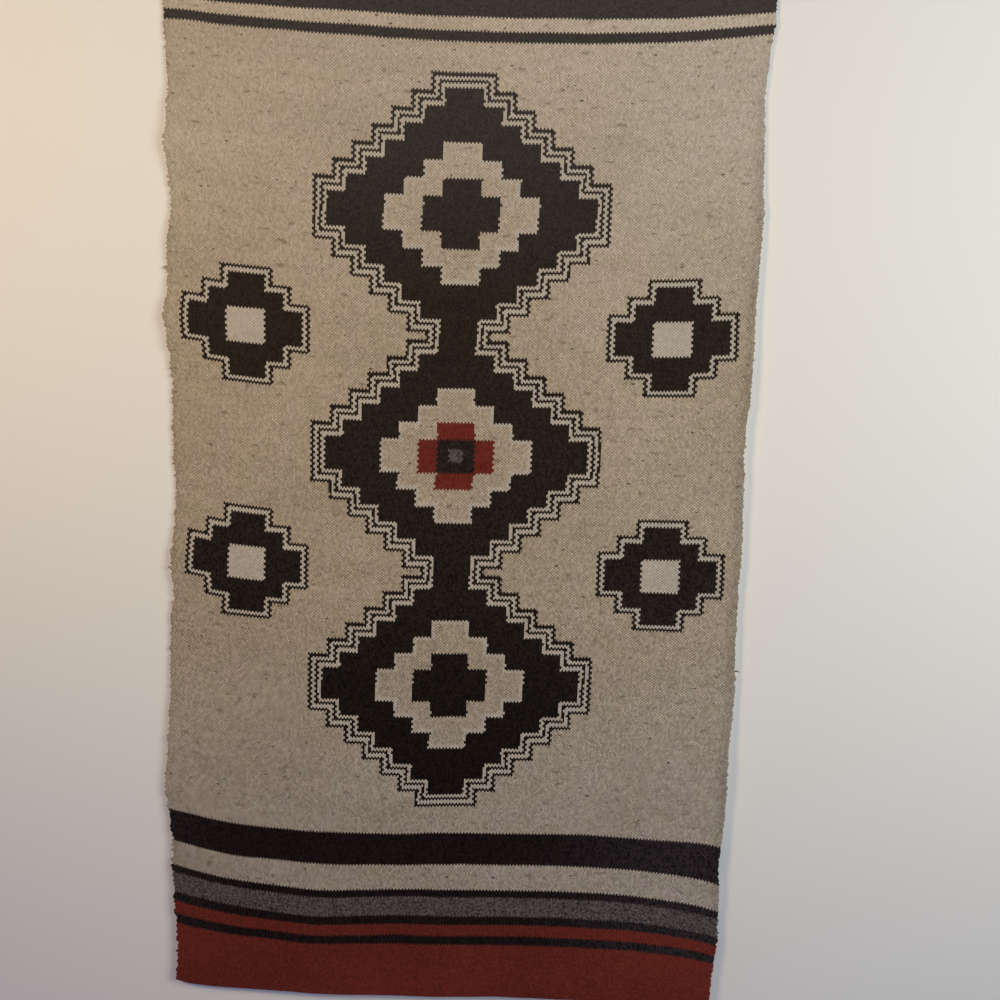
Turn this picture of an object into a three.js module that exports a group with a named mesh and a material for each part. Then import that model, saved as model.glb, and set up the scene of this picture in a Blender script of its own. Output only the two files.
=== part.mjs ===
// Handwoven wool rug, hanging flat from its top edge
// One tapestry-woven cloth, with no lining, fringe or binding sewn to it.
// Millimetres, +Z up. The patterned face looks towards -Y.
// Origin: middle of the top edge, on the back of the cloth.
import * as THREE from 'three';

// Driving dimensions
const RUG_WIDTH = 762;
const RUG_LENGTH = 1400;
const CLOTH_THICKNESS = 3;
const EDGE_WAVE_REACH = 55;      // how far in from a selvage its own waves die away
const WIDTH_CHANGE_POWER = 3;    // how strongly a change of width stays near the selvage

// Steps of the grid that carries the cloth
const CELLS_ACROSS = 18;
const CELLS_DOWN = 70;

const HALF_WIDTH = RUG_WIDTH / 2;

// Selvages: how far each side edge stands out past half the width, down the rug
const LEFT_SELVAGE = [
  { down: 0, out: 2.5 },
  { down: 120, out: 0 },
  { down: 192, out: -5 },
  { down: 250, out: 0 },
  { down: 321, out: -6 },
  { down: 378, out: -0.5 },
  { down: 429, out: -1 },
  { down: 467, out: 2 },
  { down: 545, out: -6.5 },
  { down: 631, out: -5.5 },
  { down: 704, out: -9 },
  { down: 799, out: -2.5 },
  { down: 827, out: -5 },
  { down: 874, out: 0 },
  { down: 959, out: 0 },
  { down: 1016, out: 3.5 },
  { down: 1066, out: 5.5 },
  { down: 1102, out: 8.5 },
  { down: 1153, out: 2.5 },
  { down: 1196, out: -2.5 },
  { down: 1228, out: -1.5 },
  { down: 1353, out: -7 },
  { down: 1400, out: -5 },
];

const RIGHT_SELVAGE = [
  { down: 0, out: 4 },
  { down: 77, out: 3 },
  { down: 126, out: -1.5 },
  { down: 165, out: -3.8 },
  { down: 198, out: -1.8 },
  { down: 290, out: 2 },
  { down: 318, out: 3 },
  { down: 393, out: 1.3 },
  { down: 448, out: 0.5 },
  { down: 495, out: 1.6 },
  { down: 552, out: 0 },
  { down: 590, out: -3.4 },
  { down: 650, out: -1.8 },
  { down: 683, out: 0 },
  { down: 730, out: 1.8 },
  { down: 764, out: 0.8 },
  { down: 846, out: 1.6 },
  { down: 880, out: 1 },
  { down: 931, out: 4.3 },
  { down: 963, out: 4 },
  { down: 1040, out: 0 },
  { down: 1090, out: 1.4 },
  { down: 1133, out: 0 },
  { down: 1176, out: -2.8 },
  { down: 1228, out: 0.2 },
  { down: 1296, out: 1.4 },
  { down: 1356, out: -3.6 },
  { down: 1400, out: -6 },
];

// Standing off: how far the back of the cloth is from the line it hangs from
const MIDDLE_HANG = [
  { down: 0, off: 0 },
  { down: 200, off: 2 },
  { down: 500, off: 5 },
  { down: 900, off: 8 },
  { down: 1250, off: 9.5 },
  { down: 1400, off: 12.5 },
];

const LEFT_HANG = [
  { down: 0, off: 0 },
  { down: 150, off: 1 },
  { down: 235, off: 8.5 },
  { down: 300, off: 1 },
  { down: 360, off: 4 },
  { down: 405, off: 2 },
  { down: 467, off: 7.5 },
  { down: 540, off: 1.2 },
  { down: 600, off: 0.4 },
  { down: 690, off: 0.4 },
  { down: 740, off: 2.5 },
  { down: 785, off: 6 },
  { down: 850, off: 2.5 },
  { down: 910, off: 1.8 },
  { down: 1037, off: 4.8 },
  { down: 1180, off: 5.5 },
  { down: 1400, off: 8.5 },
];

const RIGHT_HANG = [
  { down: 0, off: 0 },
  { down: 80, off: 3 },
  { down: 220, off: 2 },
  { down: 300, off: 5.5 },
  { down: 400, off: 8.5 },
  { down: 610, off: 12 },
  { down: 730, off: 9 },
  { down: 785, off: 10 },
  { down: 830, off: 8.5 },
  { down: 880, off: 10.7 },
  { down: 950, off: 8 },
  { down: 1048, off: 14.5 },
  { down: 1108, off: 12 },
  { down: 1170, off: 15 },
  { down: 1268, off: 11.5 },
  { down: 1330, off: 12.5 },
  { down: 1400, off: 12.5 },
];

// Wefts that bow: how far the weft lines lie below (+) or above (-) level, across the rug,
// at the top stripe, the two edges of the broad lower band, the bottom stripes and the bottom hem
const STRIPE_DOWN = 106;
const BAND_TOP_DOWN = 1156;
const BAND_BOTTOM_DOWN = 1202;
const LOWER_STRIPES_DOWN = 1262;
const WEFT_BOW = [
  { across: -381, stripe: -19, bandTop: -18, bandBottom: -18.5, lower: -22, hem: -7.8 },
  { across: -360, stripe: -18.5, bandTop: -14, bandBottom: -13.5, lower: -16, hem: -3.2 },
  { across: -300, stripe: -12.5, bandTop: -2.5, bandBottom: -1.5, lower: -4, hem: -0.6 },
  { across: -220, stripe: -8, bandTop: 3.5, bandBottom: 3.5, lower: 6, hem: 0.8 },
  { across: -170, stripe: -5.5, bandTop: 5.5, bandBottom: 6.5, lower: 9, hem: 2.8 },
  { across: -70, stripe: -1.5, bandTop: 4, bandBottom: 3.5, lower: 1.5, hem: 0.2 },
  { across: 0, stripe: 0, bandTop: 0, bandBottom: 0, lower: 0, hem: -0.8 },
  { across: 80, stripe: 0, bandTop: -2.5, bandBottom: -2.5, lower: -2.5, hem: -4.8 },
  { across: 180, stripe: -2, bandTop: -5.5, bandBottom: -5, lower: -4.5, hem: -4.5 },
  { across: 280, stripe: -7, bandTop: -3, bandBottom: -2, lower: -0.5, hem: -4 },
  { across: 350, stripe: -14.5, bandTop: -1.5, bandBottom: 5, lower: 8.5, hem: -1 },
  { across: 381, stripe: -18, bandTop: 1.5, bandBottom: 11.5, lower: 16, hem: 3 },
];

// Read a column of a table at any place between its rows, on a smooth curve
function readTable(rows, key, column, place) {
  const last = rows.length - 1;
  if (place <= rows[0][key]) {
    return rows[0][column];
  }
  if (place >= rows[last][key]) {
    return rows[last][column];
  }
  let i = 0;
  while (place > rows[i + 1][key]) {
    i += 1;
  }
  const slope = (k) => {
    const before = rows[Math.max(k - 1, 0)];
    const after = rows[Math.min(k + 1, last)];
    return (after[column] - before[column]) / (after[key] - before[key]);
  };
  const span = rows[i + 1][key] - rows[i][key];
  const u = (place - rows[i][key]) / span;
  const startPull = u * (1 - u) * (1 - u) * span * slope(i);
  const endPull = u * u * (u - 1) * span * slope(i + 1);
  const blend = u * u * (3 - 2 * u);
  return rows[i][column] * (1 - blend) + rows[i + 1][column] * blend + startPull + endPull;
}

// How far below level the weft lies at a place in the flat cloth
function weftBow(across, down) {
  const bow = (column) => readTable(WEFT_BOW, 'across', column, across);
  const levels = [
    { down: 0, bow: 0 },
    { down: STRIPE_DOWN, bow: bow('stripe') },
    { down: BAND_TOP_DOWN, bow: bow('bandTop') },
    { down: BAND_BOTTOM_DOWN, bow: bow('bandBottom') },
    { down: LOWER_STRIPES_DOWN, bow: bow('lower') },
    { down: RUG_LENGTH, bow: bow('hem') },
  ];
  let i = 0;
  while (i < levels.length - 2 && down > levels[i + 1].down) {
    i += 1;
  }
  const u = (down - levels[i].down) / (levels[i + 1].down - levels[i].down);
  return THREE.MathUtils.lerp(levels[i].bow, levels[i + 1].bow, u);
}

// Where a point of the flat cloth hangs: x, y of its back, and z
function hangingPoint(across, down) {
  const low = down + weftBow(across, down);
  const selvage = across < 0 ? LEFT_SELVAGE : RIGHT_SELVAGE;
  const reach = Math.abs(across) / HALF_WIDTH;
  const out = readTable(selvage, 'down', 'out', low) * reach ** WIDTH_CHANGE_POWER;
  const middle = readTable(MIDDLE_HANG, 'down', 'off', low);
  const sides = [
    { table: LEFT_HANG, inward: HALF_WIDTH + across },
    { table: RIGHT_HANG, inward: HALF_WIDTH - across },
  ];
  let off = middle;
  for (const side of sides) {
    const fade = Math.exp(-side.inward / EDGE_WAVE_REACH);
    off += fade * (readTable(side.table, 'down', 'off', low) - middle);
  }
  return new THREE.Vector3(across + Math.sign(across) * out, -off, -low);
}

// Columns of the grid, closer together towards the selvages
function acrossAt(column) {
  const turn = (column / CELLS_ACROSS) * 2 - 1;
  return HALF_WIDTH * Math.sin((turn * Math.PI) / 2);
}

// The cloth: a front and a back sheet of the same grid, joined round the four edges
function clothGeometry() {
  const positions = [];
  for (const depth of [CLOTH_THICKNESS, 0]) {
    for (let row = 0; row <= CELLS_DOWN; row += 1) {
      for (let column = 0; column <= CELLS_ACROSS; column += 1) {
        const point = hangingPoint(acrossAt(column), (row / CELLS_DOWN) * RUG_LENGTH);
        positions.push(point.x, point.y - depth, point.z);
      }
    }
  }
  const columns = CELLS_ACROSS + 1;
  const sheet = columns * (CELLS_DOWN + 1);
  const front = (row, column) => row * columns + column;
  const back = (row, column) => sheet + row * columns + column;
  const indices = [];
  const quad = (a, b, c, d) => indices.push(a, b, c, a, c, d);
  for (let row = 0; row < CELLS_DOWN; row += 1) {
    for (let column = 0; column < CELLS_ACROSS; column += 1) {
      quad(front(row, column), front(row + 1, column), front(row + 1, column + 1), front(row, column + 1));
      quad(back(row, column), back(row, column + 1), back(row + 1, column + 1), back(row + 1, column));
    }
    quad(front(row, 0), back(row, 0), back(row + 1, 0), front(row + 1, 0));
    quad(
      front(row, CELLS_ACROSS),
      front(row + 1, CELLS_ACROSS),
      back(row + 1, CELLS_ACROSS),
      back(row, CELLS_ACROSS),
    );
  }
  for (let column = 0; column < CELLS_ACROSS; column += 1) {
    quad(front(0, column), front(0, column + 1), back(0, column + 1), back(0, column));
    quad(
      front(CELLS_DOWN, column),
      back(CELLS_DOWN, column),
      back(CELLS_DOWN, column + 1),
      front(CELLS_DOWN, column + 1),
    );
  }
  const geometry = new THREE.BufferGeometry();
  geometry.setAttribute('position', new THREE.Float32BufferAttribute(positions, 3));
  geometry.setIndex(indices);
  geometry.computeVertexNormals();
  return geometry;
}

// Heathered oatmeal wool, the colour of the rug's ground
const wool = new THREE.MeshStandardMaterial({ color: 0xa3937c, roughness: 0.95, metalness: 0 });

const cloth = new THREE.Mesh(clothGeometry(), wool);
cloth.name = 'rug_cloth';

const rug = new THREE.Group();
rug.add(cloth);

export default rug;
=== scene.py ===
import math

import bmesh
import bpy
from mathutils import Matrix, Vector, noise


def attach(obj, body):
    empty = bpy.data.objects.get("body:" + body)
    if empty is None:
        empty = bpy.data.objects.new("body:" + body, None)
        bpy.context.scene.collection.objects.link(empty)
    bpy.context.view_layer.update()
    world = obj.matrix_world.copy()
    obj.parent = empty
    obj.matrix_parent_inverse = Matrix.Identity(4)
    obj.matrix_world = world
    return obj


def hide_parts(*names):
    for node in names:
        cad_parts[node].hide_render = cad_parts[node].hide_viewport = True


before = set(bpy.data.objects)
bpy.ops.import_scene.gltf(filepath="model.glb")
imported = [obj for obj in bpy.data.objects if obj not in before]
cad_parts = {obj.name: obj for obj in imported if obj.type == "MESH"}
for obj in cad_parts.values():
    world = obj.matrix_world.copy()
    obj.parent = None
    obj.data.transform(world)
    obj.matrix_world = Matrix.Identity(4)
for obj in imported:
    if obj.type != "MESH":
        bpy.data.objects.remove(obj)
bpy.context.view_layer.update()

# The cloth
# One weft-faced tapestry, wool weft beaten down hard over wool warp and woven in one piece.
# It hangs flat from its top edge. The selvages and ends are finished on the loom, so nothing is sewn to it.
mm = 0.001
RUG_WIDTH = 0.762
RUG_LENGTH = 1.400
THICKNESS = 0.0030
EDGE_ROUND = 0.0015        # the yarn turns round the outermost warp
PICK = 0.00185             # from one weft to the next
BEAD = 2 * PICK            # a weft shows over every second warp, so its beads stand two picks apart
EDGE_WAVE_REACH = 0.055    # how far in from a selvage its own waves die away
WIDTH_CHANGE_POWER = 3     # how strongly a change of width stays near the selvage
RAGGED_REACH = 0.020       # how far in from an edge its small unevenness goes

# Selvages in millimetres: a place down the rug, and how far the edge stands out there past half the width
LEFT_SELVAGE = [
    (0, 2.5), (120, 0), (192, -5), (250, 0), (321, -6), (378, -0.5), (429, -1), (467, 2), (545, -6.5),
    (631, -5.5), (704, -9), (799, -2.5), (827, -5), (874, 0), (959, 0), (1016, 3.5), (1066, 5.5),
    (1102, 8.5), (1153, 2.5), (1196, -2.5), (1228, -1.5), (1353, -7), (1400, -5),
]
RIGHT_SELVAGE = [
    (0, 4), (77, 3), (126, -1.5), (165, -3.8), (198, -1.8), (290, 2), (318, 3), (393, 1.3), (448, 0.5),
    (495, 1.6), (552, 0), (590, -3.4), (650, -1.8), (683, 0), (730, 1.8), (764, 0.8), (846, 1.6), (880, 1),
    (931, 4.3), (963, 4), (1040, 0), (1090, 1.4), (1133, 0), (1176, -2.8), (1228, 0.2), (1296, 1.4),
    (1356, -3.6), (1400, -6),
]

# Standing off in millimetres: a place down the rug, and how far its back is there from the top edge's line
MIDDLE_HANG = [(0, 0), (200, 2), (500, 5), (900, 8), (1250, 9.5), (1400, 12.5)]
LEFT_HANG = [
    (0, 0), (150, 1), (235, 8.5), (300, 1), (360, 4), (405, 2), (467, 7.5), (540, 1.2), (600, 0.4),
    (690, 0.4), (740, 2.5), (785, 6), (850, 2.5), (910, 1.8), (1037, 4.8), (1180, 5.5), (1400, 8.5),
]
RIGHT_HANG = [
    (0, 0), (80, 3), (220, 2), (300, 5.5), (400, 8.5), (610, 12), (730, 9), (785, 10), (830, 8.5),
    (880, 10.7), (950, 8), (1048, 14.5), (1108, 12), (1170, 15), (1268, 11.5), (1330, 12.5), (1400, 12.5),
]

# Wefts that bow, in millimetres: a place across, and how far the weft lies below level there
# at the top stripe, the two edges of the broad lower band, the bottom stripes and the bottom hem
WEFT_BOW = {
    106: [(-381, -19), (-360, -18.5), (-300, -12.5), (-220, -8), (-170, -5.5), (-70, -1.5), (0, 0),
          (80, 0), (180, -2), (280, -7), (350, -14.5), (381, -18)],
    1156: [(-381, -18), (-360, -14), (-300, -2.5), (-220, 3.5), (-170, 5.5), (-70, 4), (0, 0),
           (80, -2.5), (180, -5.5), (280, -3), (350, -1.5), (381, 1.5)],
    1202: [(-381, -18.5), (-360, -13.5), (-300, -1.5), (-220, 3.5), (-170, 6.5), (-70, 3.5), (0, 0),
           (80, -2.5), (180, -5), (280, -2), (350, 5), (381, 11.5)],
    1262: [(-381, -22), (-360, -16), (-300, -4), (-220, 6), (-170, 9), (-70, 1.5), (0, 0),
           (80, -2.5), (180, -4.5), (280, -0.5), (350, 8.5), (381, 16)],
    1400: [(-381, -7.8), (-360, -3.2), (-300, -0.6), (-220, 0.8), (-170, 2.8), (-70, 0.2), (0, -0.8),
           (80, -4.8), (180, -4.5), (280, -4), (350, -1), (381, 3)],
}

# Small unevenness of the selvages: its length along the edge in metres, and how far it goes in millimetres.
# Slack and tight wefts tug the edge in and out, and nibs and fuzz of yarn stand out of it.
ROUGH_LENGTH = {"tug": 0.014, "slow_tug": 0.045, "nib": 0.006, "fuzz": 0.0028}
LEFT_ROUGHNESS = {"tug": 1.5, "slow_tug": 0.9, "nib": 7.8, "fuzz": 2.9}
RIGHT_ROUGHNESS = {"tug": 0.9, "slow_tug": 0.9, "nib": 4.2, "fuzz": 1.7}
NIB_START = 0.22           # noise below this makes no nib
SCALLOP = 0.4              # how far each weft's turn round the outermost warp stands out
PULLED_POWER, STRAY_POWER = 2, 6    # how closely tugs, and nibs and fuzz, keep to the very edge

# Small buckles of the cloth, off the wall, and the raggedness of its ends:
# their lengths in metres, across and down, and how far they go in millimetres
BROAD_ACROSS, BROAD_DOWN, BROAD_BUCKLE = 0.11, 0.13, 0.9
SMALL_ACROSS, SMALL_DOWN, SMALL_BUCKLE = 0.05, 0.04, 0.35
RAGGED_LENGTH, RAGGED_END = 0.03, 0.6


def smooth_reading(rows, place):
    """The value of a table at any place, on a smooth curve through its rows."""
    last = len(rows) - 1
    if place <= rows[0][0]:
        return rows[0][1]
    if place >= rows[last][0]:
        return rows[last][1]
    i = 0
    while place > rows[i + 1][0]:
        i += 1

    def slope(k):
        before, after = rows[max(k - 1, 0)], rows[min(k + 1, last)]
        return (after[1] - before[1]) / (after[0] - before[0])

    span = rows[i + 1][0] - rows[i][0]
    u = (place - rows[i][0]) / span
    blend = u * u * (3 - 2 * u)
    pull = u * (1 - u) * span * ((1 - u) * slope(i) - u * slope(i + 1))
    return rows[i][1] * (1 - blend) + rows[i + 1][1] * blend + pull


def drift(x, y, z):
    """Smooth noise at a place, from -1 to 1 and the same each run."""
    return noise.noise(Vector((x, y, z)))


def weft_bow(across, down):
    """How far below level the weft lies at a place in the flat cloth, all in metres."""
    levels = [(0.0, 0.0)] + [(at, smooth_reading(row, across / mm)) for at, row in WEFT_BOW.items()]
    i = 0
    while i < len(levels) - 2 and down / mm > levels[i + 1][0]:
        i += 1
    u = (down / mm - levels[i][0]) / (levels[i + 1][0] - levels[i][0])
    return (levels[i][1] * (1 - u) + levels[i + 1][1] * u) * mm


def selvage_roughness(side, down):
    """In millimetres: how far the weft pulls a selvage about, and how far stray yarn stands out of it."""
    rough = LEFT_ROUGHNESS if side < 0 else RIGHT_ROUGHNESS
    scallop = abs(math.sin(math.pi * down / BEAD + side)) * SCALLOP
    tug = drift(side * 3.1, down / ROUGH_LENGTH["tug"], 0.5) * rough["tug"]
    slow_tug = drift(side * 5.3, down / ROUGH_LENGTH["slow_tug"], 2.5) * rough["slow_tug"]
    nib = max(0.0, drift(side * 7.7, down / ROUGH_LENGTH["nib"], 5.5) - NIB_START) * rough["nib"]
    fuzz = drift(side * 9.1, down / ROUGH_LENGTH["fuzz"], 8.5) * rough["fuzz"]
    return scallop + tug + slow_tug, nib + fuzz


def hanging_point(across, down):
    """Where the middle of the cloth's thickness hangs, for a place in the flat cloth, all in metres."""
    low = down + weft_bow(across, down)
    side = math.copysign(1, across)
    reach = min(abs(across) / (RUG_WIDTH / 2), 1)
    selvage = LEFT_SELVAGE if side < 0 else RIGHT_SELVAGE
    out = smooth_reading(selvage, low / mm) * reach ** WIDTH_CHANGE_POWER
    near_edge = max(0.0, 1 - (RUG_WIDTH / 2 - abs(across)) / RAGGED_REACH)
    pulled, stray = selvage_roughness(side, down)
    out += pulled * near_edge ** PULLED_POWER + stray * near_edge ** STRAY_POWER

    middle = smooth_reading(MIDDLE_HANG, low / mm)
    off = middle
    for rows, inward in ((LEFT_HANG, RUG_WIDTH / 2 + across), (RIGHT_HANG, RUG_WIDTH / 2 - across)):
        off += math.exp(-max(inward, 0) / EDGE_WAVE_REACH) * (smooth_reading(rows, low / mm) - middle)
    off += drift(across / BROAD_ACROSS, down / BROAD_DOWN, 4.0) * BROAD_BUCKLE
    off += drift(across / SMALL_ACROSS, down / SMALL_DOWN, 7.0) * SMALL_BUCKLE

    near_end = max(0.0, 1 - min(down, RUG_LENGTH - down) / RAGGED_REACH)
    low += drift(across / RAGGED_LENGTH, round(down / RUG_LENGTH), 9.0) * RAGGED_END * mm * near_end
    return Vector((across + side * out * mm, -off * mm - THICKNESS / 2, -low))


# The mesh: how far apart its lines are on the flat cloth, and how many cross a rounded edge
MESH_ACROSS, MESH_DOWN = 0.008, 0.007
EDGE_LINES = 3
FIRST_INSIDE = 0.0022      # from a rounded edge to the first line inside it
TINY = 1e-6                # points closer than this are one


def lines_of_cloth(length, step):
    """Where the lines of the mesh cross the flat cloth, measured over its rounded edges."""
    turned = EDGE_ROUND * math.pi / 2
    inner = length / 2 - EDGE_ROUND
    edge = [inner + turned * k / EDGE_LINES for k in range(EDGE_LINES, -1, -1)] + [inner - FIRST_INSIDE]
    count = max(1, round(2 * edge[-1] / step))
    inside = [edge[-1] - 2 * edge[-1] * k / count for k in range(1, count)]
    return sorted(edge + inside + [-x for x in edge])


across_lines = lines_of_cloth(RUG_WIDTH, MESH_ACROSS)
down_lines = lines_of_cloth(RUG_LENGTH, MESH_DOWN)
cloth_mesh = bmesh.new()
bmesh.ops.create_grid(cloth_mesh, x_segments=len(across_lines) - 1, y_segments=len(down_lines) - 1, size=0.5)
for point in cloth_mesh.verts:
    column = round((point.co.x + 0.5) * (len(across_lines) - 1))
    row = round((0.5 - point.co.y) * (len(down_lines) - 1))
    point.co = (across_lines[column], 0, -down_lines[row])
bmesh.ops.recalc_face_normals(cloth_mesh, faces=cloth_mesh.faces[:])
if cloth_mesh.faces[0].normal.y > 0:
    bmesh.ops.reverse_faces(cloth_mesh, faces=cloth_mesh.faces[:])

# The outer few columns are cut finely down the rug, for the small scallops of the selvages,
# except where the lines already lie close together at the rounded ends
SELVAGE_CUTS = 7
CLOSE_LINES = 0.004
selvage_inner = RUG_WIDTH / 2 - EDGE_ROUND - 0.1 * mm
selvage_edges = [
    e for e in cloth_mesh.edges
    if min(abs(v.co.x) for v in e.verts) > selvage_inner
    and abs(e.verts[0].co.x - e.verts[1].co.x) < TINY
    and e.calc_length() > CLOSE_LINES
]
bmesh.ops.subdivide_edges(cloth_mesh, edges=selvage_edges, cuts=SELVAGE_CUTS, use_grid_fill=True)

# Two maps: the flat cloth in metres, which the weave is drawn on, and one with a place of its own
# for each side, made for baking
BAKE_MARGIN = 0.004
FRONT_PLACE, BACK_PLACE = (BAKE_MARGIN, 0.556), (0.564, 1 - BAKE_MARGIN)
flat_map = cloth_mesh.loops.layers.uv.new("flat_cloth")
bake_map = cloth_mesh.loops.layers.uv.new("OFBake")
widest, longest = across_lines[-1], down_lines[-1]


def lay_out(faces, place):
    """Writes both maps of one side of the cloth, with its place across the baking map."""
    for face in faces:
        for corner in face.loops:
            x, z = corner.vert.co.x, corner.vert.co.z
            corner[flat_map].uv = (x, RUG_LENGTH / 2 - z)
            share_across = (x + widest) / (2 * widest)
            share_up = (z + longest) / (2 * longest)
            corner[bake_map].uv = (
                place[0] + share_across * (place[1] - place[0]),
                BAKE_MARGIN + share_up * (1 - 2 * BAKE_MARGIN),
            )


front_points = cloth_mesh.verts[:]
front_faces = cloth_mesh.faces[:]
lay_out(front_faces, FRONT_PLACE)
doubled = bmesh.ops.duplicate(cloth_mesh, geom=front_points + cloth_mesh.edges[:] + front_faces)
back_points = [g for g in doubled["geom"] if isinstance(g, bmesh.types.BMVert)]
back_faces = [g for g in doubled["geom"] if isinstance(g, bmesh.types.BMFace)]
bmesh.ops.reverse_faces(cloth_mesh, faces=back_faces)
lay_out(back_faces, BACK_PLACE)


def round_edge(measured, length):
    """The place in the flat for a distance over the rounded edge, and the share of the thickness there."""
    inner = length / 2 - EDGE_ROUND
    if abs(measured) <= inner:
        return measured, 1.0
    turn = (abs(measured) - inner) / EDGE_ROUND
    return math.copysign(inner + EDGE_ROUND * math.sin(turn), measured), max(0.0, math.cos(turn))


rim = []
for points, side in ((front_points, -1), (back_points, 1)):
    for point in points:
        across, thick_across = round_edge(point.co.x, RUG_WIDTH)
        down, thick_down = round_edge(-point.co.z, RUG_LENGTH)
        place = hanging_point(across, down + RUG_LENGTH / 2)
        thick = THICKNESS / 2 * thick_across * thick_down
        point.co = place + Vector((0, side * thick, 0))
        if thick < TINY:
            rim.append(point)
bmesh.ops.remove_doubles(cloth_mesh, verts=rim, dist=TINY)
for face in cloth_mesh.faces:
    face.smooth = True

cloth_data = bpy.data.meshes.new("woven_cloth")
cloth_mesh.to_mesh(cloth_data)
cloth_mesh.free()
cloth = bpy.data.objects.new("woven_cloth", cloth_data)
bpy.context.scene.collection.objects.link(cloth)

# The yarns
# Hand-spun wool in natural oatmeal, brown-black and grey, and one dyed brick red, all matt. The ground's
# fleece is carded from light and brown wool, so it is heathered and flecked. The weave shows it as beads.
WARP = 0.00226             # from one warp to the next, about eleven to the inch


class Wire:
    """One socket of a shader, so that sums on sockets are written as plain Python."""

    def __init__(self, socket):
        self.socket = socket

    @classmethod
    def node(cls, tree, kind, settings=None, values=None, out=0):
        """Any node: its settings first, then the values or links of its sockets."""
        made = tree.nodes.new("ShaderNode" + kind)
        for name, value in (settings or {}).items():
            if name == "stops":
                while len(made.color_ramp.elements) < len(value):
                    made.color_ramp.elements.new(0)
                for stop, (place, colour) in zip(made.color_ramp.elements, value):
                    stop.position, stop.color = place, colour
            else:
                setattr(made, name, value)
        for name, value in (values or {}).items():
            if isinstance(value, Wire):
                tree.links.new(value.socket, made.inputs[name])
            else:
                made.inputs[name].default_value = value
        return None if out is None else cls(made.outputs[out])

    def sum(self, operation, *others):
        """A sum that starts with this socket."""
        values = {i: v for i, v in enumerate((self, *others))}
        return Wire.node(self.socket.id_data, "Math", {"operation": operation}, values)

    def turned(self, operation, other):
        """A sum that ends with this socket."""
        return Wire.node(self.socket.id_data, "Math", {"operation": operation}, {0: other, 1: self})

    def __add__(self, other):
        return self.sum("ADD", other)

    def __radd__(self, other):
        return self.turned("ADD", other)

    def __sub__(self, other):
        return self.sum("SUBTRACT", other)

    def __rsub__(self, other):
        return self.turned("SUBTRACT", other)

    def __mul__(self, other):
        return self.sum("MULTIPLY", other)

    def __rmul__(self, other):
        return self.turned("MULTIPLY", other)

    def __truediv__(self, other):
        return self.sum("DIVIDE", other)

    def __rtruediv__(self, other):
        return self.turned("DIVIDE", other)

    def __mod__(self, other):
        return self.sum("FLOORED_MODULO", other)

    def __rmod__(self, other):
        return self.turned("FLOORED_MODULO", other)

    def __lt__(self, other):
        return self.sum("LESS_THAN", other)

    def __gt__(self, other):
        return self.sum("GREATER_THAN", other)

    def __abs__(self):
        return self.sum("ABSOLUTE")

    def __floor__(self):
        return self.sum("FLOOR")

    def at_least(self, other):
        return self.sum("MAXIMUM", other)

    def at_most(self, other):
        return self.sum("MINIMUM", other)


wool = bpy.data.materials.new("handspun_wool")
wool.use_nodes = True
yarn = wool.node_tree
yarn.nodes.clear()

# Places across the rug from its middle, and down it from its top edge. From here on the yarn's sizes
# are in millimetres, where nothing else is said.
flat = Wire.node(yarn, "UVMap", {"uv_map": "flat_cloth"})
across = Wire.node(yarn, "SeparateXYZ", values={0: flat}, out="X") * (1 / mm)
down = Wire.node(yarn, "SeparateXYZ", values={0: flat}, out="Y") * (1 / mm)


def cloud(x, y, size=1.0, detail=1.0, z=0.0):
    """Soft random patches, from 0 to 1, of about the given size."""
    place = Wire.node(yarn, "CombineXYZ", values={0: x, 1: y, 2: z})
    return Wire.node(yarn, "TexNoise", {"noise_dimensions": "3D"},
                     {"Vector": place, "Scale": 1 / size, "Detail": detail, "Roughness": 0.5})


def uneven(x, y, size=1.0, detail=1.0, z=0.0):
    """The same patches, from -0.5 to 0.5."""
    return cloud(x, y, size, detail, z) - 0.5


def between(value, low, high):
    """Rises smoothly from 0 to 1 as the value goes from low to high, or falls where high is the lower."""
    return Wire.node(yarn, "MapRange", {"interpolation_type": "SMOOTHSTEP"},
                     {"Value": value, "From Min": low, "From Max": high})


def mixed(share, first, second):
    """The first colour where the share is 0, the second where it is 1."""
    return Wire.node(yarn, "Mix", {"data_type": "RGBA"}, {0: share, 6: first, 7: second}, out=2)


# The wefts and warps wander a little, then each place belongs to one bead of yarn, over one warp.
# Every second warp carries its beads half a bead higher.
WEFT_WANDER, WARP_WANDER = 2.6, 1.6
FIRST_WEFT = 0.9           # how much of the first row lies above the top edge
warp_mm, bead_mm, pick_mm = WARP / mm, BEAD / mm, PICK / mm
wandering = down + FIRST_WEFT + uneven(across, down, 55) * WEFT_WANDER
column = math.floor((across + uneven(across, down, 70, z=5.0) * WARP_WANDER) / warp_mm)
half_bead = (column % 2) * 0.5
bead_row = math.floor(wandering / bead_mm + half_bead)
bead_x = (column + 0.5) * warp_mm
bead_y = (bead_row + 0.5 - half_bead) * bead_mm - FIRST_WEFT
along = across / warp_mm - column - 0.5
beside = wandering / bead_mm + half_bead - bead_row - 0.5
pick_number = bead_y / pick_mm

# Bands and stripes of each yarn: how far down each begins and ends
DARK_BANDS = [
    (-5, 82.9), (99.5, 112.5), (1155.9, 1202.5), (1239.2, 1250.3), (1278, 1290.9), (1307.6, 1320.6),
]
GREY_BANDS = [(1250.3, 1278)]
BRICK_BANDS = [(1290.9, 1307.6), (1320.6, 1410)]


def banded(bands):
    """1 in any of the bands, each a whole number of beads high."""
    total = 0
    for top, bottom in bands:
        total = total + (bead_y > top) * (bead_y < bottom)
    return total


band_dark, band_grey, band_brick = banded(DARK_BANDS), banded(GREY_BANDS), banded(BRICK_BANDS)

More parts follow.
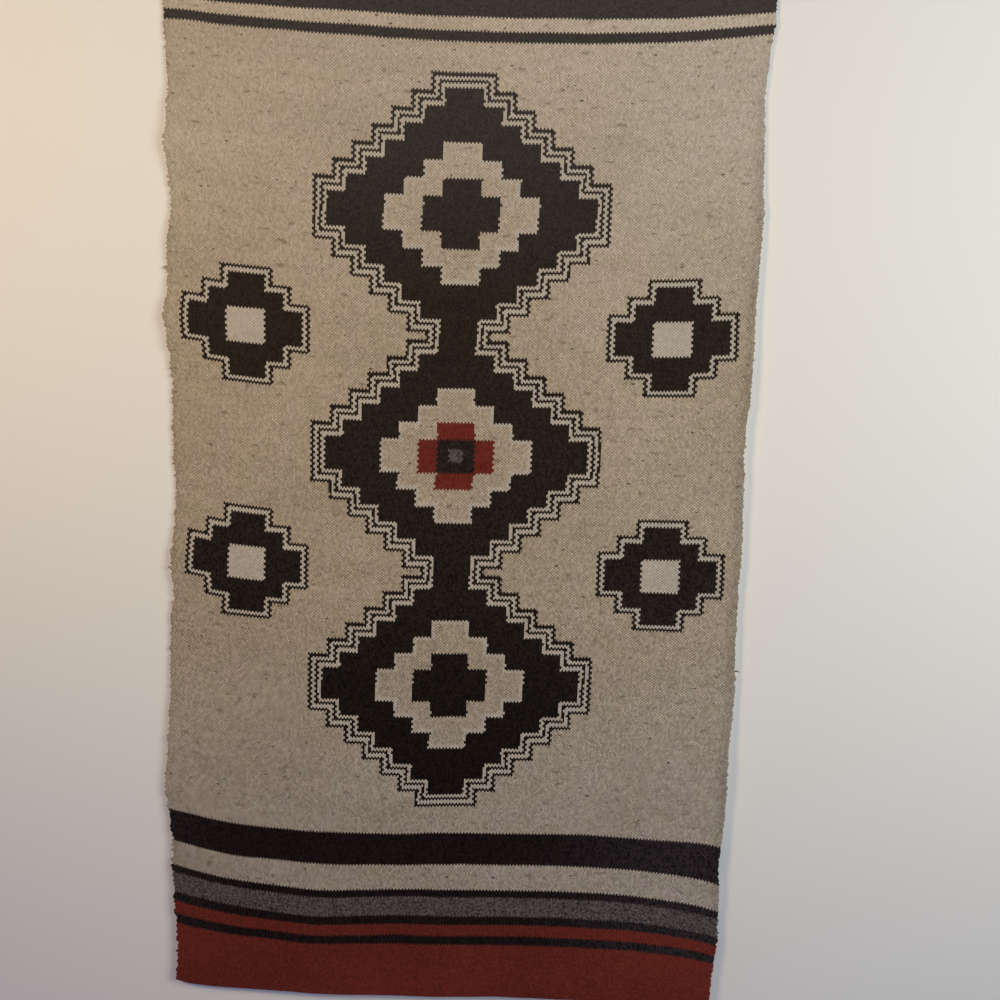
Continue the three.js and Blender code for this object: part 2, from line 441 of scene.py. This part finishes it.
# The design: three linked stepped diamonds down the middle and four small ones beside them.
# Two wefts of different colours turn round the same warp in alternate rows, so upright edges are toothed.
# They also wander a little from side to side on their way down.
STEP_WIDE, STEP_HIGH = 11 * warp_mm, 12 * pick_mm    # each step is 11 warps wide and 12 picks high
DIAMOND_STEPS, LIGHT_STEPS, CORE_STEPS, INSIDE_STEPS = 7, 4, 2, 1
SIDE_STEPS, SIDE_LIGHT_STEPS = 3, 1
DIAMOND_PITCH = 2 * DIAMOND_STEPS * STEP_HIGH
FIELD_MIDDLE = 634         # how far down the middle diamond's middle is
SIDE_PLACE = 277           # from the middle of the rug to that of a side diamond
EYE_WIDE, EYE_HIGH = 9, 8  # from its middle to its edge
LINE = 4.4                 # width of each thin line of an outline
TOOTH = 0.9 * warp_mm      # how far one row's edge stands past the next row's
EDGE_WANDER = 3
toothed_x = bead_x + ((bead_row % 2) - 0.5) * TOOTH + uneven(bead_y, 3.0, 60) * EDGE_WANDER


def stepped(dx, dy, steps, grown=0.0):
    """1 inside a stepped diamond of so many steps, grown all round by so many millimetres."""
    climbed = math.floor((dy - grown).at_least(0) / STEP_HIGH)
    return ((dx + climbed * STEP_WIDE) < (steps * STEP_WIDE + grown)) * (dy < (steps * STEP_HIGH + grown))


def drawn(*nested):
    """1 between the first and second of some nested shapes, the third and fourth, and so on."""
    total = nested[0]
    for i, shape in enumerate(nested[1:]):
        total = total - shape if i % 2 == 0 else total + shape
    return total


middle_x = abs(toothed_x)
from_middle = (bead_y - FIELD_MIDDLE) / DIAMOND_PITCH
which = math.floor(from_middle + 0.5).at_least(-1).at_most(1)
diamond_y = abs(from_middle - which) * DIAMOND_PITCH
central = abs(which) < 0.5
lines = [stepped(middle_x, diamond_y, DIAMOND_STEPS, k * LINE) for k in (4, 3, 2, 1, 0)]
inner_light = stepped(middle_x, diamond_y, LIGHT_STEPS)
opening = stepped(middle_x, diamond_y, LIGHT_STEPS, -LINE)
core = stepped(middle_x, diamond_y, CORE_STEPS)
core_inside = stepped(middle_x, diamond_y, INSIDE_STEPS)
core_eye = (middle_x < EYE_WIDE) * (diamond_y < EYE_HIGH)

side_x = abs(middle_x - SIDE_PLACE)
side_y = abs(abs(bead_y - FIELD_MIDDLE) - DIAMOND_PITCH / 2)
side_lines = [stepped(side_x, side_y, SIDE_STEPS, k * LINE) for k in (2, 1, 0)]
side_inside = stepped(side_x, side_y, SIDE_LIGHT_STEPS)

light_yarn = drawn(*lines[1:]) + drawn(inner_light, opening) + drawn(*side_lines[1:]) + side_inside
dark_figure = drawn(*lines) - inner_light + core + drawn(*side_lines) - side_inside
brick_figure = (core - core_inside) * central
grey_figure = core_eye * central
dark_yarn = (dark_figure - brick_figure - grey_figure).at_least(0) + band_dark
brick_yarn = brick_figure + band_brick
grey_yarn = grey_figure + band_grey

# How one length of yarn differs from the next, and one fibre from another
bead_key = Wire.node(yarn, "CombineXYZ", values={0: column, 1: bead_row})
by_bead = Wire.node(yarn, "TexWhiteNoise", {"noise_dimensions": "2D"}, {"Vector": bead_key}) - 0.5
by_pick = uneven(bead_x / 38, pick_number * 3.7)
heather = uneven(bead_x / 4.5, pick_number * 0.61, detail=2.0)
abrash = uneven(across / 9, down, 26, 2.0, 8.0)
patches = uneven(across, down, 150, 1.0, 11.0)
fibres = uneven(across * 2.2, down * 9, detail=2.0)
specks = uneven(across, down * 1.3, 3.2, 2.0, 17.0)
lower = between(down, 0, 1100)
hue = uneven(across, down, 30, 3.0, 31.0) * (0.34 + lower * 0.34)

GROUND_LIGHT, GROUND_BROWN = (0.435, 0.372, 0.300, 1), (0.300, 0.246, 0.182, 1)
LIGHT_WOOL = (0.430, 0.382, 0.328, 1)
BRICK_WOOL, GREY_WOOL = (0.136, 0.0212, 0.0138, 1), (0.083, 0.071, 0.067, 1)
BROWN_FLECK, DARK_FLECK = (0.140, 0.104, 0.074, 1), (0.040, 0.028, 0.020, 1)
# The dark yarn is painted lighter towards the top, as painted haze and sheen from the light above: its
# colour at places down the rug
DARK_UNDER_TOP_HAZE = [
    (66, (0.0500, 0.0432, 0.0414, 1)), (430, (0.0235, 0.0165, 0.0125, 1)),
    (560, (0.0205, 0.0141, 0.0108, 1)), (827, (0.0146, 0.0105, 0.0084, 1)),
    (967, (0.0096, 0.0066, 0.0047, 1)), (1074, (0.0082, 0.0045, 0.0036, 1)),
    (1184, (0.0098, 0.0051, 0.0053, 1)),
]
# Painted glare: the dark yarn's lighter, greyer colour low down towards the side edges
GLARE_GREYED_DARK = (0.0227, 0.0162, 0.0188, 1)

# The ground: how much light fleece is in the yarn, then brown and dark flecks
carded = heather * 1.7 + by_bead * 0.35 + patches * 0.5 + 0.5
ground_wool = mixed(carded.at_least(0).at_most(1), GROUND_BROWN, GROUND_LIGHT)
brown_share = between(cloud(across / 16, wandering / 7.5, z=21.0), 0.625, 0.755) * 0.54
dark_share = between(cloud(across / 9.0, wandering / 4.5, detail=0.0, z=41.0), 0.78, 0.86) * 0.80
ground_wool = mixed(dark_share, mixed(brown_share, ground_wool, BROWN_FLECK), DARK_FLECK)

# It is painted lighter at the top and on the right, as painted light and haze, and darker at both side
# edges, as painted shade where the cloth curls away from the light. A patch low on the left is darker too.
# Painted shade at both side edges, where the cloth curls away from the light, and a darker patch low on the
# left
right_edge_shade, left_edge_shade = between(across, 362, 377), between(across, -372, -378)
lower_left = between(down, 1190, 1240) * between(across, -120, -340)
# Painted haze and light: the ground is paler at its top, more so in the middle, and lighter at the top and
# darker lower down, as the light from above falls
top_right_haze = between(down, 300, 90) * between(across, -60, 60)
painted_top_light = 1.11 - between(down, 150, 1250) * 0.17
painted_top_haze = between(down, 130, 60) * 0.12 + top_right_haze * 0.07
# The painted edge shade, and the darker patch low on the left
edge_shade_and_low_patch = right_edge_shade * (0.05 + between(down, 120, 320) * 0.13) + left_edge_shade * 0.07 + lower_left * 0.07
# All this painted light and shade together, with the darker low patch
painted_light_and_shade = (painted_top_light + painted_top_haze) * (1 - edge_shade_and_low_patch)
warmer = between(down, 180, 560) * (1 - between(down, 840, 1090))
# Painted light: the ground is lighter and cooler on the right, where more light falls
painted_right_light = between(across, 40, 290) * (1 - warmer * 0.4)
red = painted_light_and_shade * (1 + hue * 0.12) * (1.01 - warmer * 0.04 + painted_right_light * 0.07)
green = painted_light_and_shade * (1.02 - warmer * 0.07 + painted_right_light * 0.08)
blue = painted_light_and_shade * (1 + hue * 0.42) * (1.06 - warmer * 0.14 + painted_right_light * 0.11)
tinted = Wire.node(yarn, "CombineXYZ", values={0: red, 1: green, 2: blue})
ground_wool = Wire.node(yarn, "VectorMath", {"operation": "MULTIPLY"}, {0: ground_wool, 1: tinted})

# The dark yarn, painted lighter towards the top as painted haze, and painted lighter and greyer low down
# towards both side edges, and more so on the right, as painted glare
rug_mm = RUG_LENGTH / mm
stops = [(at / rug_mm, shade) for at, shade in DARK_UNDER_TOP_HAZE]
dark_wool = Wire.node(yarn, "ValToRGB", {"stops": stops}, {0: down / rug_mm})
painted_glare = (between(across, 80, 340) + between(across, -300, -370) * 0.4) * between(down, 600, 1200)
dark_wool = mixed(painted_glare, dark_wool, GLARE_GREYED_DARK)

colour = mixed(light_yarn, ground_wool, LIGHT_WOOL)
colour = mixed(dark_yarn, colour, dark_wool)
colour = mixed(brick_yarn, colour, BRICK_WOOL)
colour = mixed(grey_yarn, colour, GREY_WOOL)

# How strongly each unevenness, and the painted light on the right of the brick yarn, shows in the tone of
# each yarn. The dark and grey yarns are the most mixed.
BY_PICK, ABRASH, FIBRES, BRICK_PATCHES, BRICK_PAINTED_LIGHT = 0.22, 0.22, 0.36, 0.50, 0.10
DARKEST = 0.15
by_bead_share = 0.06 + lower * (0.20 + dark_yarn * 0.80) + grey_yarn * 0.40 + dark_yarn * 0.05
speck_share = 0.30 + lower * 0.28 + dark_yarn * (1.0 + lower * 0.75) + brick_yarn * 0.8 + grey_yarn * 2.6
tone = 1 + by_bead * by_bead_share
tone = tone + by_pick * BY_PICK + abrash * ABRASH + fibres * FIBRES + patches * brick_yarn * BRICK_PATCHES
# Painted light: the brick yarn is lighter on the right, where more light falls
tone = tone + brick_yarn * between(across, 180, 330) * BRICK_PAINTED_LIGHT
tone = tone + specks * speck_share

# A bead is highest at its middle and dives under the next warps at its ends, and its colour is painted
# darker there as painted shade and lighter at its middle as painted highlight. This painted shade is deeper
# low down, where the weave is more open and the light from above grazes, and crisper in the middle of the
# top.
rounded = (along * math.pi).sum("COSINE") * (beside * 2 * math.pi).sum("COSINE")
crisp_bead_shade = between(across, -290, -90) * (1 - between(across, 150, 340) * 0.7) * (1 - lower)
painted_bead_shade = 0.16 + crisp_bead_shade * 0.14 + lower * (0.27 - brick_yarn * 0.14 + dark_yarn * 0.26)
painted_bead_shade = painted_bead_shade + between(down, 100, 400) * between(down, 1150, 800) * 0.035
tone = tone.at_least(DARKEST) * (1 + rounded * painted_bead_shade)
colour = Wire.node(yarn, "VectorMath", {"operation": "SCALE"}, {0: colour, "Scale": tone})

BEAD_RELIEF = 0.00045      # in metres
relief = rounded * 0.5 + fibres * 0.35
bumped = Wire.node(yarn, "Bump", values={"Strength": 0.8, "Distance": BEAD_RELIEF, "Height": relief})
surface = Wire.node(yarn, "BsdfPrincipled", values={
    "Base Color": colour,
    "Roughness": 0.86 + fibres * 0.15,
    "Normal": bumped,
    "Specular IOR Level": 0.08,
    "Sheen Weight": 0.02,
    "Sheen Roughness": 0.5,
})
Wire.node(yarn, "OutputMaterial", values={"Surface": surface}, out=None)
cloth_data.materials.append(wool)

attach(cloth, "root")
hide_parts("rug_cloth")

# The loose end
# One short end of brown-black weft that has worked out of the right selvage, low down.
# It is soft handspun wool, held at its root by the weave, and it tapers to nothing.
LOOSE_DOWN = 0.9145        # how far down the rug it leaves the selvage
END_RINGS, END_SIDES = 14, 8
# A share of its length, and in millimetres how far it is there out of the selvage, how far up,
# and its radius
END_OUT = [(0, -2), (0.3, 1.2), (0.6, 3.6), (1, 7)]
END_UP = [(0, 0), (0.3, 0.5), (0.6, 0.4), (1, -1.4)]
END_RADIUS = [(0, 0), (0.08, 0.85), (0.5, 0.75), (0.9, 0.4), (1, 0)]
END_LEAN = 0.3             # how far its tip leans off the wall, in millimetres
end_root = hanging_point(RUG_WIDTH / 2, LOOSE_DOWN)
end_mesh = bmesh.new()
bmesh.ops.create_grid(end_mesh, x_segments=END_RINGS, y_segments=END_SIDES, size=0.5)
for point in end_mesh.verts:
    part_way, turn = point.co.x + 0.5, 2 * math.pi * (point.co.y + 0.5)
    radius = smooth_reading(END_RADIUS, part_way)
    offset = (
        smooth_reading(END_OUT, part_way),
        -radius * math.cos(turn) - END_LEAN * part_way,
        radius * math.sin(turn) + smooth_reading(END_UP, part_way),
    )
    point.co = end_root + Vector(offset) * mm
bmesh.ops.remove_doubles(end_mesh, verts=end_mesh.verts[:], dist=TINY)
bmesh.ops.recalc_face_normals(end_mesh, faces=end_mesh.faces[:])
for face in end_mesh.faces:
    face.smooth = True
end_data = bpy.data.meshes.new("loose_end")
end_mesh.to_mesh(end_data)
end_mesh.free()
loose_end = bpy.data.objects.new("loose_end", end_data)
bpy.context.scene.collection.objects.link(loose_end)

DARK_FIBRE, PALE_FIBRE = (0.012, 0.009, 0.008, 1), (0.055, 0.042, 0.036, 1)
FIBRE_RELIEF = 0.0003
end_material = bpy.data.materials.new("brown_black_wool")
end_material.use_nodes = True
end_wool = end_material.node_tree
end_wool.nodes.clear()
end_place = Wire.node(end_wool, "TexCoord", out="Object")
end_fibres = Wire.node(end_wool, "TexNoise", values={"Vector": end_place, "Scale": 1800, "Detail": 2.0})
end_twist = Wire.node(end_wool, "TexWave", {"bands_direction": "DIAGONAL"},
                      {"Vector": end_place, "Scale": 260, "Distortion": 1.5}, out="Fac")
end_colour = Wire.node(end_wool, "Mix", {"data_type": "RGBA"},
                       {0: end_fibres, 6: DARK_FIBRE, 7: PALE_FIBRE}, out=2)
end_relief = end_twist + end_fibres
end_bump = Wire.node(end_wool, "Bump",
                     values={"Strength": 0.7, "Distance": FIBRE_RELIEF, "Height": end_relief})
end_surface = Wire.node(end_wool, "BsdfPrincipled", values={
    "Base Color": end_colour,
    "Roughness": 0.9,
    "Normal": end_bump,
    "Specular IOR Level": 0.08,
})
Wire.node(end_wool, "OutputMaterial", values={"Surface": end_surface}, out=None)
end_data.materials.append(end_material)

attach(loose_end, "root")

# The backdrop
# A plain pale wall right behind the rug and a plain pale floor well below it. Neither is part of the rug.
# They cast no shadow and bounce no light, and they are clear from behind, so that the rug's back shows.
for name, size, turn, place, tint in (
    ("backdrop_wall", (4.6, 4.0), 90, (0, 0.0012, 0.05), (0.80, 0.79, 0.77, 1)),
    ("floor", (4.6, 2.6), 0, (0, -1.2988, -1.95), (0.62, 0.60, 0.57, 1)),
):
    plane = bmesh.new()
    bmesh.ops.create_grid(plane, x_segments=1, y_segments=1, size=0.5)
    bmesh.ops.scale(plane, vec=(size[0], size[1], 1), verts=plane.verts[:])
    bmesh.ops.rotate(plane, matrix=Matrix.Rotation(math.radians(turn), 3, "X"), verts=plane.verts[:])
    bmesh.ops.translate(plane, vec=place, verts=plane.verts[:])
    data = bpy.data.meshes.new(name)
    plane.to_mesh(data)
    plane.free()
    sheet = bpy.data.objects.new(name, data)
    bpy.context.scene.collection.objects.link(sheet)
    paint = bpy.data.materials.new(name + "_paint")
    paint.use_nodes = True
    coat = paint.node_tree
    coat.nodes.clear()
    matt = Wire.node(coat, "BsdfDiffuse", values={"Color": tint})
    clear = Wire.node(coat, "BsdfTransparent")
    behind = Wire.node(coat, "NewGeometry", out="Backfacing")
    shown = Wire.node(coat, "MixShader", values={0: behind, 1: matt, 2: clear})
    Wire.node(coat, "OutputMaterial", values={"Surface": shown}, out=None)
    data.materials.append(paint)
    sheet.visible_shadow = False
    sheet.visible_diffuse = False

# Light
# A soft warm lamp to the left, a broad neutral one to the right, and one behind for the back of the rug,
# each with its place, width, spread in degrees, tint and power in watts. A little cool light comes from
# all round, and the surroundings look plain and pale.
LAMPS_AIM_AT = (0.0, 0.0, -0.5)
COOL_SKY, COOL_STRENGTH = (0.430, 0.483, 0.97, 1), 0.259
PALE_SURROUNDINGS = (0.66, 0.65, 0.63, 1)
for name, place, width, spread, tint, power in (
    ("warm_lamp", (-0.90, -1.28, -0.10), 0.45, 180, (1.0, 0.756, 0.368), 12.9),
    ("broad_lamp", (1.45, -1.40, -0.20), 1.20, 180, (0.974, 1.0, 0.829), 23.8),
    ("back_lamp", (0.45, 1.70, -0.35), 1.10, 75, (1.0, 0.95, 0.86), 12.0),
):
    light = bpy.data.lights.new(name, "AREA")
    light.shape = "DISK"
    light.size = width
    light.spread = math.radians(spread)
    light.color = tint
    light.energy = power
    lamp = bpy.data.objects.new(name, light)
    lamp.location = place
    aim = Vector(LAMPS_AIM_AT) - Vector(place)
    lamp.rotation_euler = aim.to_track_quat("-Z", "Y").to_euler()
    lamp.visible_camera = False
    bpy.context.scene.collection.objects.link(lamp)

sky = bpy.data.worlds.new("pale_surroundings")
sky.use_nodes = True
air = sky.node_tree
air.nodes.clear()
cool_light = Wire.node(air, "Background", values={"Color": COOL_SKY, "Strength": COOL_STRENGTH})
pale_ground = Wire.node(air, "Background", values={"Color": PALE_SURROUNDINGS, "Strength": 1.0})
seen = Wire.node(air, "LightPath", out="Is Camera Ray")
around = Wire.node(air, "MixShader", values={0: seen, 1: cool_light, 2: pale_ground})
Wire.node(air, "OutputWorld", values={"Surface": around}, out=None)
bpy.context.scene.world = sky
bpy.context.scene.view_settings.view_transform = "Standard"

# Camera
# It stands about 1.4 m from the wall, a little right of the rug's middle, and looks slightly down.
# Its turn, tilt and roll are in degrees.
SENSOR_WIDTH = 36
FOCAL_LENGTH = SENSOR_WIDTH * 1.027
CAMERA_PLACE = (0.086, -1.355, -0.5091)
TURN, TILT, ROLL = 1.05, -7.66, -1.84
camera_data = bpy.data.cameras.new("camera")
camera_data.sensor_width = SENSOR_WIDTH
camera_data.lens = FOCAL_LENGTH
camera_data.clip_start = 0.01
camera = bpy.data.objects.new("camera", camera_data)
turned = (
    Matrix.Rotation(math.radians(TURN), 4, "Z")
    @ Matrix.Rotation(math.radians(TILT), 4, "X")
    @ Matrix.Rotation(math.radians(ROLL), 4, "Y")
)
level_view = Matrix.Rotation(math.radians(90), 4, "X")
camera.matrix_world = Matrix.Translation(CAMERA_PLACE) @ turned @ level_view
bpy.context.scene.collection.objects.link(camera)
bpy.context.scene.camera = camera
